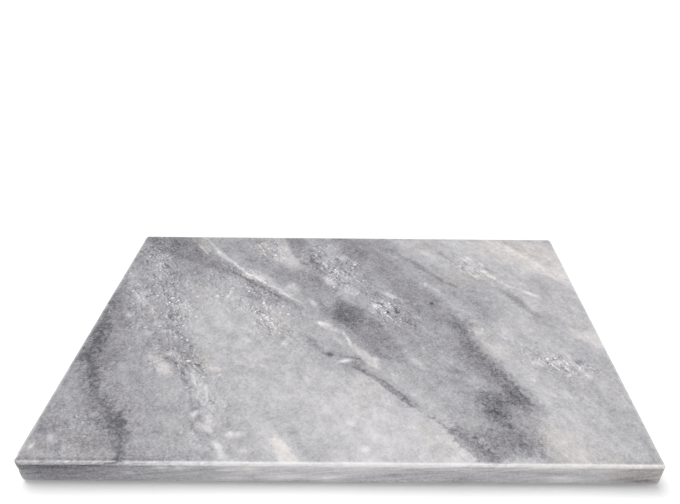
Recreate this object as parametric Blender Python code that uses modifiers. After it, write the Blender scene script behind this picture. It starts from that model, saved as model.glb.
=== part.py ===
"""Marble chopping board: one slab of stone on four stick-on rubber feet.

Lengths are in metres and +Z is up. The board's length runs along X and its
width along Y. The origin lies on the worktop, under the middle of the board.
"""
import math

import bmesh
import bpy
from mathutils import Matrix

COLLECTION_NAME = "marble_chopping_board"

# Slab, cut from stone tile stock and squared on a saw
SLAB_LENGTH = 0.457
SLAB_WIDTH = 0.305
SLAB_THICKNESS = 0.020
CORNER_RADIUS = 0.003
CORNER_SEGMENTS = 6
ARRIS_WIDTH = 0.0015
ARRIS_SEGMENTS = 3
SHARP_EDGE_ANGLE = math.radians(60)

# Rubber feet, wider at the top than at the sole
FOOT_TOP_RADIUS = 0.0065
FOOT_SOLE_RADIUS = 0.0050
FOOT_HEIGHT = 0.0018
FOOT_EDGE_RADIUS = 0.0004
FOOT_EDGE_STEPS = 4
FOOT_INSET = 0.030

# Adhesive discs between the feet and the stone
ADHESIVE_MARGIN = 0.0005
ADHESIVE_THICKNESS = 0.0005

# Clearance between two pieces that touch
SEAT_GAP = 0.0003

ROUND_SEGMENTS = 32
SMOOTH_ANGLE = math.radians(40)
MERGE_DISTANCE = 0.00001

# Heights above the worktop
ADHESIVE_BASE = FOOT_HEIGHT + SEAT_GAP
SLAB_BASE = ADHESIVE_BASE + ADHESIVE_THICKNESS + SEAT_GAP

CORNERS = {
    "front_left": (-1, -1),
    "front_right": (1, -1),
    "back_left": (-1, 1),
    "back_right": (1, 1),
}


def clear_scene():
    """Remove every object that is already in the scene."""
    for existing in list(bpy.data.objects):
        bpy.data.objects.remove(existing, do_unlink=True)


def make_material(name, color, roughness, metallic=0.0):
    """Return a Principled material with a linear base colour."""
    material = bpy.data.materials.new(name)
    material.use_nodes = True
    shader = material.node_tree.nodes["Principled BSDF"]
    shader.inputs["Base Color"].default_value = (*color, 1.0)
    shader.inputs["Roughness"].default_value = roughness
    shader.inputs["Metallic"].default_value = metallic
    return material


def add_piece(name, mesh, material, location, parent):
    """Put a mesh in the board's collection as one named piece."""
    piece = bpy.data.objects.new(name, mesh)
    piece.location = location
    piece.parent = parent
    if material.name not in mesh.materials:
        mesh.materials.append(material)
    bpy.data.collections[COLLECTION_NAME].objects.link(piece)
    return piece


def slab_mesh():
    """A block of the slab's size with its four upright corners rounded."""
    size = Matrix.Diagonal((SLAB_LENGTH, SLAB_WIDTH, SLAB_THICKNESS, 1.0))
    shape = bmesh.new()
    bmesh.ops.create_cube(shape, size=1.0, matrix=size)
    upright = [
        edge for edge in shape.edges
        if abs(edge.verts[0].co.z - edge.verts[1].co.z) > SLAB_THICKNESS / 2
    ]
    bmesh.ops.bevel(
        shape, geom=upright, affect="EDGES", offset=CORNER_RADIUS,
        segments=CORNER_SEGMENTS, profile=0.5, material=-1,
    )
    mesh = bpy.data.meshes.new("marble_slab")
    shape.to_mesh(mesh)
    shape.free()
    return mesh


def build_slab(material, parent):
    """The slab, with its top and bottom arrises eased by hand."""
    centre = (0.0, 0.0, SLAB_BASE + SLAB_THICKNESS / 2)
    slab = add_piece("marble_slab", slab_mesh(), material, centre, parent)
    arris = slab.modifiers.new("eased_arris", "BEVEL")
    arris.limit_method = "ANGLE"
    arris.angle_limit = SHARP_EDGE_ANGLE
    arris.width = ARRIS_WIDTH
    arris.segments = ARRIS_SEGMENTS
    arris.harden_normals = True
    slab.data.shade_smooth()
    slab.data.set_sharp_from_angle(angle=SMOOTH_ANGLE)
    return slab


def foot_profile_points():
    """The foot's section, from the middle of its top down to its sole."""
    points = [(0.0, FOOT_HEIGHT), (FOOT_TOP_RADIUS, FOOT_HEIGHT)]
    for step in range(FOOT_EDGE_STEPS + 1):
        angle = math.radians(90) * step / FOOT_EDGE_STEPS
        radius = FOOT_SOLE_RADIUS + FOOT_EDGE_RADIUS * math.cos(angle)
        height = FOOT_EDGE_RADIUS * (1 - math.sin(angle))
        points.append((radius, height))
    points.append((0.0, 0.0))
    return points


def foot_profile_mesh():
    """The foot's section as a chain of edges in the XZ plane."""
    shape = bmesh.new()
    chain = [shape.verts.new((radius, 0.0, height))
             for radius, height in foot_profile_points()]
    for upper, lower in zip(chain, chain[1:]):
        shape.edges.new((upper, lower))
    mesh = bpy.data.meshes.new("rubber_foot")
    shape.to_mesh(mesh)
    shape.free()
    return mesh


def adhesive_mesh():
    """A thin round disc, a little smaller than the foot's top."""
    radius = FOOT_TOP_RADIUS - ADHESIVE_MARGIN
    shape = bmesh.new()
    bmesh.ops.create_cone(
        shape, cap_ends=True, segments=ROUND_SEGMENTS,
        radius1=radius, radius2=radius, depth=ADHESIVE_THICKNESS,
    )
    mesh = bpy.data.meshes.new("adhesive_disc")
    shape.to_mesh(mesh)
    shape.free()
    mesh.shade_smooth()
    mesh.set_sharp_from_angle(angle=SMOOTH_ANGLE)
    return mesh


def turn_about_z(piece):
    """Turn a profile round its own Z axis into a solid."""
    turn = piece.modifiers.new("turned", "SCREW")
    turn.axis = "Z"
    turn.angle = math.radians(360)
    turn.steps = ROUND_SEGMENTS
    turn.render_steps = ROUND_SEGMENTS
    turn.use_merge_vertices = True
    turn.merge_threshold = MERGE_DISTANCE
    turn.use_smooth_shade = True


def build_feet(rubber, adhesive, parent):
    """A foot and its adhesive disc near each corner of the underside."""
    profile = foot_profile_mesh()
    disc = adhesive_mesh()
    reach_x = SLAB_LENGTH / 2 - FOOT_INSET
    reach_y = SLAB_WIDTH / 2 - FOOT_INSET
    for corner, (side_x, side_y) in CORNERS.items():
        x = side_x * reach_x
        y = side_y * reach_y
        foot = add_piece("foot_" + corner, profile, rubber, (x, y, 0.0), parent)
        turn_about_z(foot)
        middle = (x, y, ADHESIVE_BASE + ADHESIVE_THICKNESS / 2)
        add_piece("adhesive_disc_" + corner, disc, adhesive, middle, parent)


def build_board():
    """Build the whole board on one empty at the origin."""
    clear_scene()
    collection = bpy.data.collections.new(COLLECTION_NAME)
    bpy.context.scene.collection.children.link(collection)
    origin = bpy.data.objects.new("board_origin", None)
    collection.objects.link(origin)

    marble = make_material("honed_grey_marble", (0.48, 0.48, 0.50), 0.45)
    rubber = make_material("silicone_rubber", (0.62, 0.62, 0.60), 0.55)
    adhesive = make_material("acrylic_adhesive", (0.75, 0.73, 0.68), 0.35)
    build_slab(marble, origin)
    build_feet(rubber, adhesive, origin)


build_board()
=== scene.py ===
# %% [markdown]
# # A marble chopping board
#
# A chopping board of this kind is one block of marble, cut from 20 mm stock,
# honed flat and eased along its edges. Under it sit four stick-on rubber feet.
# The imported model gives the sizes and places, and this script gives the looks.

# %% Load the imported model
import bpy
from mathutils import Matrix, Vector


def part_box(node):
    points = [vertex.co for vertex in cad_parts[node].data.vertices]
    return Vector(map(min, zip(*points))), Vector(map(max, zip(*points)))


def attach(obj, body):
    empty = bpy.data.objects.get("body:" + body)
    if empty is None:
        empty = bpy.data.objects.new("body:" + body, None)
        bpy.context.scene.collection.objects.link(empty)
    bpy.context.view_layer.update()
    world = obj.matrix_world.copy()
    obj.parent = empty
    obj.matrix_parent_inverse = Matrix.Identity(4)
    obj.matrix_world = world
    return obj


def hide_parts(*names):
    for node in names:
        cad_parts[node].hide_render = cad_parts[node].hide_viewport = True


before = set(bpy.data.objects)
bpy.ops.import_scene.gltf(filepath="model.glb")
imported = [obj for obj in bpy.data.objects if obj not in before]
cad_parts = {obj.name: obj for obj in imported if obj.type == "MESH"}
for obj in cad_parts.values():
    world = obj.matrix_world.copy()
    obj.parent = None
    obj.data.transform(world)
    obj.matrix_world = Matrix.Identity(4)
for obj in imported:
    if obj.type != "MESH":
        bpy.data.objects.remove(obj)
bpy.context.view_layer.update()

# %% Modules and units
import math

import bmesh
import bpy
from mathutils import Matrix, Vector, noise

MM = 0.001
scene = bpy.context.scene
slab_low, slab_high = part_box("marble_slab")
slab_middle = (slab_low + slab_high) / 2
print("Slab, in mm:", [round(v / MM, 1) for v in slab_high - slab_low])

# %% [markdown]
# ## The camera
#
# The photograph was taken from in front of the board and above it. Where its
# four top corners fall in the picture fixes the place, the tilt and the lens.
# The picture is cropped a little to one side, so the lens is shifted too.

# %% Set up the camera
FRAME_WIDTH = 680
FOCAL_PIXELS = 586.87
OPTICAL_CENTRE_X = 362.88
SENSOR_WIDTH = 36.0
CAMERA_PLACE = Vector((0.01266, -0.41708, 0.34552))
CAMERA_PITCH = math.radians(32.612)
CAMERA_YAW = math.radians(0.350)
CAMERA_ROLL = math.radians(-0.690)


def make_camera():
    """A camera at the photograph's angle, placed from the middle of the slab's top."""
    lens = bpy.data.cameras.new("photo_camera")
    lens.sensor_width = SENSOR_WIDTH
    lens.lens = FOCAL_PIXELS * SENSOR_WIDTH / FRAME_WIDTH
    lens.shift_x = (FRAME_WIDTH / 2 - OPTICAL_CENTRE_X) / FRAME_WIDTH
    camera = bpy.data.objects.new("photo_camera", lens)
    turn = (
        Matrix.Rotation(-CAMERA_YAW, 4, "Z")
        @ Matrix.Rotation(math.radians(90) - CAMERA_PITCH, 4, "X")
        @ Matrix.Rotation(-CAMERA_ROLL, 4, "Z")
    )
    top_middle = Vector((slab_middle.x, slab_middle.y, slab_high.z))
    camera.matrix_world = Matrix.Translation(top_middle + CAMERA_PLACE) @ turn
    scene.collection.objects.link(camera)
    scene.camera = camera
    print("Lens, in mm:", round(lens.lens, 2), "shift:", round(lens.shift_x, 4))


make_camera()

# %% [markdown]
# ## Colours and nodes
#
# Colours are written as sRGB hex values, as a colour picker gives them, and
# Blender's sockets want linear light, so one function turns them. A second one
# adds a shader node with its settings and links, to keep the materials short.
# Every pattern is drawn in millimetres of the piece itself, so that its size
# can be compared with the real one and it stays with the piece.

# %% Helpers for materials
def linear(hex_colour):
    """An sRGB hex colour as a linear colour with full alpha."""
    channels = [int(hex_colour[i:i + 2], 16) / 255 for i in (1, 3, 5)]
    light = [c / 12.92 if c <= 0.04045 else ((c + 0.055) / 1.055) ** 2.4 for c in channels]
    return (*light, 1.0)


def add(tree, kind, inputs=None, **settings):
    """Add a shader node and return its first output. Inputs hold values or other outputs."""
    made = tree.nodes.new("ShaderNode" + kind)
    for name, value in settings.items():
        setattr(made, name, value)
    for socket, value in (inputs or {}).items():
        if isinstance(value, bpy.types.NodeSocket):
            tree.links.new(value, made.inputs[socket])
        else:
            made.inputs[socket].default_value = value
    return made.outputs[0]


def new_material(name):
    """A new material, its node tree, and its Principled shader, joined to the output."""
    material = bpy.data.materials.new(name)
    material.use_nodes = True
    tree = material.node_tree
    tree.nodes.clear()
    shader = tree.nodes.new("ShaderNodeBsdfPrincipled")
    output = tree.nodes.new("ShaderNodeOutputMaterial")
    tree.links.new(shader.outputs[0], output.inputs["Surface"])
    return material, tree, shader


def millimetres(tree):
    """The place on the piece, in millimetres."""
    metres = tree.nodes.new("ShaderNodeTexCoord").outputs["Object"]
    return add(tree, "VectorMath", {0: metres, "Scale": 1 / MM}, operation="SCALE")


print("Mid grey, linear:", [round(c, 3) for c in linear("#808080")])

# %% [markdown]
# ## The slab's shape
#
# The real slab was sawn from 20 mm stock. Its corners and edges were eased by
# hand with a rubbing block, so no two corners are alike, and a few grains have
# broken out along the edges since. The block is bevelled first. Then its rim
# is divided into fine columns, so that it can be worn without touching the
# flat faces, which stay flat because they were ground.

# %% Cut the block
PLAN_RADII = {(-1, -1): 4.5, (1, -1): 1.7, (-1, 1): 2.0, (1, 1): 3.5}
PLAN_SEGMENTS = 6
ARRIS = 1.5
ARRIS_SEGMENTS = 4


def near(value, target, slack=0.01):
    """Whether two lengths in metres agree to a hundredth of a millimetre."""
    return abs(value - target) < slack * MM


def cut_block():
    """The slab's block with rounded corners and eased edges."""
    shape = bmesh.new()
    size = Matrix.Diagonal((*(slab_high - slab_low), 1.0))
    bmesh.ops.create_cube(shape, size=1.0, matrix=Matrix.Translation(slab_middle) @ size)
    for (side_x, side_y), radius in PLAN_RADII.items():
        corner_x = slab_middle.x + side_x * (slab_high.x - slab_middle.x)
        corner_y = slab_middle.y + side_y * (slab_high.y - slab_middle.y)
        upright = [
            edge for edge in shape.edges
            if all(near(v.co.x, corner_x) and near(v.co.y, corner_y) for v in edge.verts)
        ]
        bmesh.ops.bevel(
            shape, geom=upright, affect="EDGES", offset=radius * MM,
            segments=PLAN_SEGMENTS, profile=0.5, material=-1,
        )
    rims = [
        edge for edge in shape.edges
        if all(near(v.co.z, slab_high.z) for v in edge.verts)
        or all(near(v.co.z, slab_low.z) for v in edge.verts)
    ]
    bmesh.ops.bevel(
        shape, geom=rims, affect="EDGES", offset=ARRIS * MM,
        segments=ARRIS_SEGMENTS, profile=0.5, material=-1,
    )
    print("Bevelled block:", len(shape.faces), "faces")
    return shape


# %% [markdown]
# The rim will be worn unevenly, so it needs points about a millimetre apart.
# Planes cut the walls into courses and lay a few borders on the faces. The two
# big faces are taken out while the long edges are divided and are filled again
# as one flat face each, because a flat face needs no points inside it.

# %% Divide the rim
BORDERS = (2.2, 3.2, 4.6, 6.0)
COLUMN = 1.0
COURSE = 1.2


def cut_across(shape, axis, distance):
    """Cut every face that a plane square to one axis passes through."""
    normal = Vector((axis == 0, axis == 1, axis == 2))
    bmesh.ops.bisect_plane(
        shape, geom=[*shape.verts, *shape.edges, *shape.faces], dist=0.01 * MM,
        plane_co=normal * distance, plane_no=normal,
    )


def divide_rim(shape):
    """Cut the walls into courses and the whole rim into columns. The big faces stay whole."""
    low, high = slab_low.z + ARRIS * MM, slab_high.z - ARRIS * MM
    courses = round((high - low) / (COURSE * MM))
    for course in range(1, courses):
        cut_across(shape, 2, low + (high - low) * course / courses)
    for axis in (0, 1):
        for border in BORDERS:
            cut_across(shape, axis, slab_low[axis] + border * MM)
            cut_across(shape, axis, slab_high[axis] - border * MM)
    broad = sorted(shape.faces, key=lambda face: face.calc_area())[-2:]
    bmesh.ops.delete(shape, geom=broad, context="FACES_ONLY")
    for axis in (0, 1):
        span = slab_high[axis] - slab_low[axis]
        long = [edge for edge in shape.edges
                if abs(edge.verts[0].co[axis] - edge.verts[1].co[axis]) > span / 2]
        bmesh.ops.subdivide_edges(shape, edges=long, cuts=round(span / (COLUMN * MM)) - 1)
    bmesh.ops.edgeloop_fill(shape, edges=[edge for edge in shape.edges if edge.is_boundary])
    bmesh.ops.recalc_face_normals(shape, faces=shape.faces)
    print("Divided block:", len(shape.faces), "faces")


# %% [markdown]
# Hands, knives and the rubbing block meet the top front arris most. How far a
# point is rubbed is worked out from its place: it is full on the arris and
# fades out a millimetre down the faces beside it. The same share paints the
# arrises lighter, which is partly bruised stone and partly a painted highlight:
# strongest on the top front arris, weaker on the sides, and weakest on the
# bottom arrises, which lie in shade.

# %% How far the rim is rubbed
RUB_AND_HIGHLIGHT_FADE = 1.1
FRONT_RUB_AND_HIGHLIGHT, SIDE_RUB_AND_HIGHLIGHT, BOTTOM_RUB_AND_HIGHLIGHT = 1.0, 0.45, 0.1


def how_rounded(normal):
    """0 on a flat face, 1 where the surface turns half-way between two faces."""
    flatness = max(abs(part) for part in normal)
    return min(1.0, (1.0 - flatness) / (1.0 - math.sqrt(0.5)))


def rub_and_highlight_share(place):
    """How far a point is rubbed and painted with highlight: fully on its arris, down to 0 on the faces
    beside it.
    """
    front = place.y - slab_low.y < 2 * ARRIS * MM
    # The top front arris gets the most painted highlight and the bottom arrises the least, as they lie in
    # shade.
    most = FRONT_RUB_AND_HIGHLIGHT if front else SIDE_RUB_AND_HIGHLIGHT
    if place.z < slab_middle.z:
        most = BOTTOM_RUB_AND_HIGHLIGHT
    level = min(slab_high.z - place.z, place.z - slab_low.z)
    side = min(min(slab_high[axis] - place[axis], place[axis] - slab_low[axis]) for axis in (0, 1))
    return most * min(1.0, max(0.0, 1.0 - ((level + side) / MM - ARRIS) / RUB_AND_HIGHLIGHT_FADE))


print("Rubbed shares, front, sides and bottom:", FRONT_RUB_AND_HIGHLIGHT, SIDE_RUB_AND_HIGHLIGHT, BOTTOM_RUB_AND_HIGHLIGHT)

# %% [markdown]
# A rubbing block takes more off in one place than in another, so each edge
# point is moved in by about a tenth of a millimetre, following smooth noise.
# A broken-out grain leaves a shallow shell-like scar. It is made by a ball
# that pushes every point inside it onto its surface. Two numbers are kept on
# the points for the material: how rubbed they are, which also sets their
# painted highlight, and how broken.

# %% Wear the rim
RUBBED = 0.16
LEAST_ROUNDED = 0.02
RUBBED_WAVES = ((24.0, 0.6), (7.0, 0.4))
UP, DOWN = 0.0, 20.0
CHIPS = (
    (-228.5, -147.0, UP, 6.0, 1.45), (-228.5, -152.5, 9.5, 5.0, 3.1), (-228.5, -152.5, DOWN, 6.0, 2.6),
    (-171.0, -152.5, UP, 3.0, 0.95), (-148.5, -152.5, UP, 2.4, 1.05), (-96.0, -152.5, UP, 3.0, 0.90),
    (-62.0, -152.5, UP, 2.0, 0.95), (-21.0, -152.5, UP, 5.0, 0.85), (33.0, -152.5, UP, 2.6, 0.95),
    (71.0, -152.5, UP, 2.2, 1.00), (118.0, -152.5, UP, 4.0, 0.90), (164.0, -152.5, UP, 2.4, 0.95),
    (203.0, -152.5, UP, 3.0, 0.90), (228.5, -152.5, DOWN, 5.0, 1.60), (-190.0, -152.5, DOWN, 3.0, 1.10),
    (-118.0, -152.5, DOWN, 4.0, 1.15), (-40.0, -152.5, DOWN, 3.0, 1.00), (56.0, -152.5, DOWN, 5.0, 1.05),
    (147.0, -152.5, DOWN, 3.0, 1.15), (-228.5, -84.0, UP, 3.0, 1.00), (-228.5, -12.0, UP, 4.0, 1.15),
    (-228.5, 71.0, UP, 2.6, 0.95), (-228.5, 118.0, DOWN, 4.0, 1.10), (-228.5, -50.0, DOWN, 3.0, 1.10),
    (-228.5, 152.5, UP, 4.0, 1.70), (-140.0, 152.5, UP, 3.0, 1.05), (-66.0, 152.5, UP, 4.0, 1.15),
    (12.0, 152.5, UP, 2.6, 0.95), (88.0, 152.5, DOWN, 4.0, 1.10), (151.0, 152.5, UP, 3.0, 1.00),
    (228.5, 131.0, UP, 4.0, 1.10), (228.5, 47.0, UP, 2.6, 0.95), (228.5, -36.0, UP, 4.0, 1.00),
    (228.5, -118.0, UP, 3.0, 1.00), (228.5, 22.0, DOWN, 4.0, 1.15), (228.5, 152.5, DOWN, 5.0, 2.20),
)


def wear_rim(shape):
    """Rub the edges back unevenly, break grains out, and note both on the points."""
    shape.normal_update()
    rub_and_highlight_layer = shape.verts.layers.float.new("rubbed_and_highlit")
    broken_layer = shape.verts.layers.float.new("broken")
    moves = {}
    for vert in shape.verts:
        roundness = how_rounded(vert.normal)
        vert[rub_and_highlight_layer] = rub_and_highlight_share(vert.co)
        if roundness > LEAST_ROUNDED:
            wave = sum(share * noise.noise(vert.co / (size * MM)) for size, share in RUBBED_WAVES)
            moves[vert] = vert.normal * -(RUBBED * MM * roundness * (0.5 + wave))
    for vert, move in moves.items():
        vert.co += move
    broken = 0
    for x, y, below, radius, bite in CHIPS:
        corner = Vector((slab_middle.x + x * MM, slab_middle.y + y * MM, slab_high.z - below * MM))
        outward = Vector([
            near(corner[axis], slab_high[axis]) - near(corner[axis], slab_low[axis])
            for axis in range(3)
        ]).normalized()
        ball = corner + outward * (radius - bite) * MM
        for vert in shape.verts:
            reach = vert.co - ball
            if reach.length < radius * MM:
                vert.co = ball + reach.normalized() * radius * MM
                vert[broken_layer] = 1.0
                broken += 1
    print("Points on worn edges:", len(moves), "and in", len(CHIPS), "chips:", broken)


# %% [markdown]
# Smooth shading rounds the bevels to the eye. The big faces still look flat,
# because the borders around them are flat too. Edges of more than 40 degrees
# stay sharp, so that the scars keep their rims.

# %% Finish the slab's mesh
SHARP_ANGLE = math.radians(40)


def build_slab_mesh():
    """The slab's finished mesh."""
    shape = cut_block()
    divide_rim(shape)
    wear_rim(shape)
    mesh = bpy.data.meshes.new("honed_slab")
    shape.to_mesh(mesh)
    shape.free()
    mesh.shade_smooth()
    mesh.set_sharp_from_angle(angle=SHARP_ANGLE)
    return mesh


slab_mesh = build_slab_mesh()
print("Slab's mesh:", len(slab_mesh.polygons), "faces")

# %% [markdown]
# Every new piece rides on the board's one body, keeps its material slot and
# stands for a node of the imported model, which is then hidden.

# %% Place a finished piece
def add_piece(name, mesh, material, slot_name, *nodes):
    """Place a finished mesh as a piece of the board that stands for some CAD nodes."""
    piece = bpy.data.objects.new(name, mesh)
    mesh.materials.append(material)
    scene.collection.objects.link(piece)
    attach(piece, "root")
    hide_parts(*nodes)
    return piece


print("Nodes of the packed model:", len(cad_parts))

# %% [markdown]
# ## The marble's beds
#
# Marble is limestone that was baked and squeezed until it turned to crystals.
# Its grey comes from films of graphite, drawn out along the old beds. On this
# slab the beds run from the back left to the front right and dip so gently
# that one vein crosses the whole top but shows on the edge as a long flat
# streak. So the pattern is drawn as a plan, in millimetres on the slab's top,
# and slides sideways as it goes down. A little noise bends every line of it.

# %% Plan coordinates that follow the beds
marble, tree, shader = new_material("honed_marble")
SLAB_TOP = slab_high.z / MM
SLAB_FRONT = slab_low.y / MM
BED_SLIDE = Vector((8.2, 5.7, 0.0))
BENDS = ((1.6, 50.0), (0.6, 7.0), (0.35, 2.4))

place = millimetres(tree)
height = add(tree, "SeparateXYZ", {0: place}).node.outputs["Z"]
depth = add(tree, "Math", {0: SLAB_TOP, 1: height}, operation="SUBTRACT")
plan = add(tree, "VectorMath", {0: depth, 1: BED_SLIDE, 2: place}, operation="MULTIPLY_ADD")
for reach, size in BENDS:
    bend = add(tree, "TexNoise", {"Vector": plan, "Scale": 1 / size, "Detail": 2.0})
    bend = add(tree, "VectorMath", {
        0: bend.node.outputs["Color"], 1: (0.5, 0.5, 0.5),
    }, operation="SUBTRACT")
    plan = add(tree, "VectorMath", {
        0: bend, 1: (4 * reach, 4 * reach, 0.0), 2: plan,
    }, operation="MULTIPLY_ADD")
plan = add(tree, "VectorMath", {0: plan, 1: (1.0, 1.0, 0.0)}, operation="MULTIPLY")
print("Beds slide", round(BED_SLIDE.length, 1), "mm for each mm down")

# %% [markdown]
# A vein wanders, so it is drawn as two curves: where its middle lies across
# the strike, and how wide it is, at each distance along the strike. Both are
# Float Curve nodes with a few points. They work between 0 and 1, so the plan
# is turned along the strike and shrunk to that range once, for all of them.
# Two noises roughen what is drawn: a ragged one for the veins, and a finer,
# dappled one for the bands, where the graphite lies in spots.

# %% Strike coordinates
STRIKE = math.radians(-55)
STRIKE_ALONG = Vector((math.cos(STRIKE), math.sin(STRIKE), 0.0))
STRIKE_ACROSS = Vector((-math.sin(STRIKE), math.cos(STRIKE), 0.0))
REACH = 900.0
ACROSS_MIDDLE = 120.0
WIDTH_MARGIN = 20.0

along = add(tree, "VectorMath", {0: plan, 1: STRIKE_ALONG}, operation="DOT_PRODUCT")
along = along.node.outputs["Value"]
across = add(tree, "VectorMath", {0: plan, 1: STRIKE_ACROSS}, operation="DOT_PRODUCT")
across = across.node.outputs["Value"]
along_share = add(tree, "Math", {0: along, 1: 1 / REACH, 2: 0.5}, operation="MULTIPLY_ADD")
across_share = add(tree, "Math", {
    0: across, 1: 1 / REACH, 2: 0.5 - ACROSS_MIDDLE / REACH,
}, operation="MULTIPLY_ADD")
edges = {}
for name, size, detail in (("ragged", 5.0, 3.0), ("dappled", 4.6, 4.0)):
    wander = add(tree, "TexNoise", {
        "Vector": plan, "Scale": 1 / size, "Detail": detail, "Roughness": 0.7,
    })
    edges[name] = add(tree, "MapRange", {
        "Value": wander, "From Min": 0.25, "From Max": 0.75, "To Min": -1 / REACH, "To Max": 1 / REACH,
    }, clamp=False)
print("Strike runs", round(math.degrees(STRIKE)), "degrees from the long side")

# %% [markdown]
# Three fields are painted with the same strokes. Tone is the grey level from 0
# to 255, warmth goes from blue-grey to cream, and unrest says where the
# crystals are coarse and flecked.

# %% Tone, warmth and unrest
fields = {}
for name, level in (("tone", 178.5), ("warmth", -0.05), ("unrest", 0.3)):
    fields[name] = add(tree, "Value")
    fields[name].default_value = level


def lay(mask, changes):
    """Add a mask to each field that a stroke changes."""
    for name, change in changes.items():
        fields[name] = add(tree, "Math", {
            0: mask, 1: change, 2: fields[name],
        }, operation="MULTIPLY_ADD")


print("Fields:", list(fields))

# %% [markdown]
# A place is inside a vein where the vein's half-width there is more than the
# distance to its middle line. A curve can't go below 0, so the widths have a
# margin added, and a vein fades out where its half-width is below 0. Nothing
# here is clamped: smoothstep stays within 0 and 1 by itself.

# %% Draw a vein
def vein(soft, points, rough=2.5, edge="ragged", **changes):
    """Lay a vein. Each point is x, y and half-width in mm, and below 0 it fades out."""
    rows = sorted((Vector((x, y, 0)).dot(STRIKE_ALONG) / REACH + 0.5, x, y, wide)
                  for x, y, wide in points)
    middles = [(Vector((x, y, 0)).dot(STRIKE_ACROSS) - ACROSS_MIDDLE) / REACH + 0.5
               for _, x, y, _ in rows]
    widths = [(wide + WIDTH_MARGIN) / REACH for *_, wide in rows]
    made = []
    for values in (middles, widths):
        shape = add(tree, "FloatCurve", {"Value": along_share})
        line = shape.node.mapping.curves[0]
        for _ in rows[2:]:
            line.points.new(0.5, 0.5)
        for point, row, value in zip(line.points, rows, values):
            point.location = (row[0], value)
        shape.node.mapping.extend = "HORIZONTAL"
        shape.node.mapping.update()
        made.append(shape)
    offset = add(tree, "Math", {0: across_share, 1: made[0]}, operation="SUBTRACT")
    offset = add(tree, "Math", {0: offset}, operation="ABSOLUTE")
    width = add(tree, "Math", {0: edges[edge], 1: rough, 2: made[1]}, operation="MULTIPLY_ADD")
    inside = add(tree, "Math", {0: width, 1: offset}, operation="SUBTRACT")
    lay(add(tree, "MapRange", {
        "Value": inside, "From Min": WIDTH_MARGIN / REACH,
        "From Max": (WIDTH_MARGIN + soft) / REACH,
    }, interpolation_type="SMOOTHSTEP", clamp=False), changes)


print("A vein's half-width can go down to", -WIDTH_MARGIN, "mm")

# %% [markdown]
# Patches are soft ovals on the plan, and marks are soft streaks on the front
# edge. Each is a round gradient that a Mapping node stretches and turns.

# %% Draw a patch or a mark
MARK_REACH = 6.0


def patch(x, y, long, wide, turn=-55, edge=0.9, dapple=0.0, **changes):
    """Lay a soft oval: its middle, half-sizes in mm and turn in degrees."""
    spot = add(tree, "Mapping", {
        "Vector": plan, "Location": (x, y, 0.0),
        "Rotation": (0.0, 0.0, math.radians(turn)), "Scale": (long, wide, 1.0),
    }, vector_type="TEXTURE")
    fade = add(tree, "TexGradient", {"Vector": spot}, gradient_type="SPHERICAL").node.outputs["Fac"]
    if dapple:
        fade = add(tree, "Math", {
            0: edges["dappled"], 1: dapple * REACH, 2: fade,
        }, operation="MULTIPLY_ADD")
    lay(add(tree, "MapRange", {
        "Value": fade, "From Min": dapple, "From Max": dapple + edge * (1 - dapple),
    }, interpolation_type="SMOOTHSTEP", clamp=False), changes)


def mark(x, below, long, high, dip=-3, **changes):
    """Lay a soft streak on the front edge, at a depth below the top."""
    spot = add(tree, "Mapping", {
        "Vector": place, "Location": (x, SLAB_FRONT, SLAB_TOP - below),
        "Rotation": (0.0, math.radians(dip), 0.0), "Scale": (long, MARK_REACH, high),
    }, vector_type="TEXTURE")
    fade = add(tree, "TexGradient", {"Vector": spot}, gradient_type="SPHERICAL").node.outputs["Fac"]
    lay(fade, changes)


print("A mark reaches", MARK_REACH, "mm in from the front")
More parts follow.
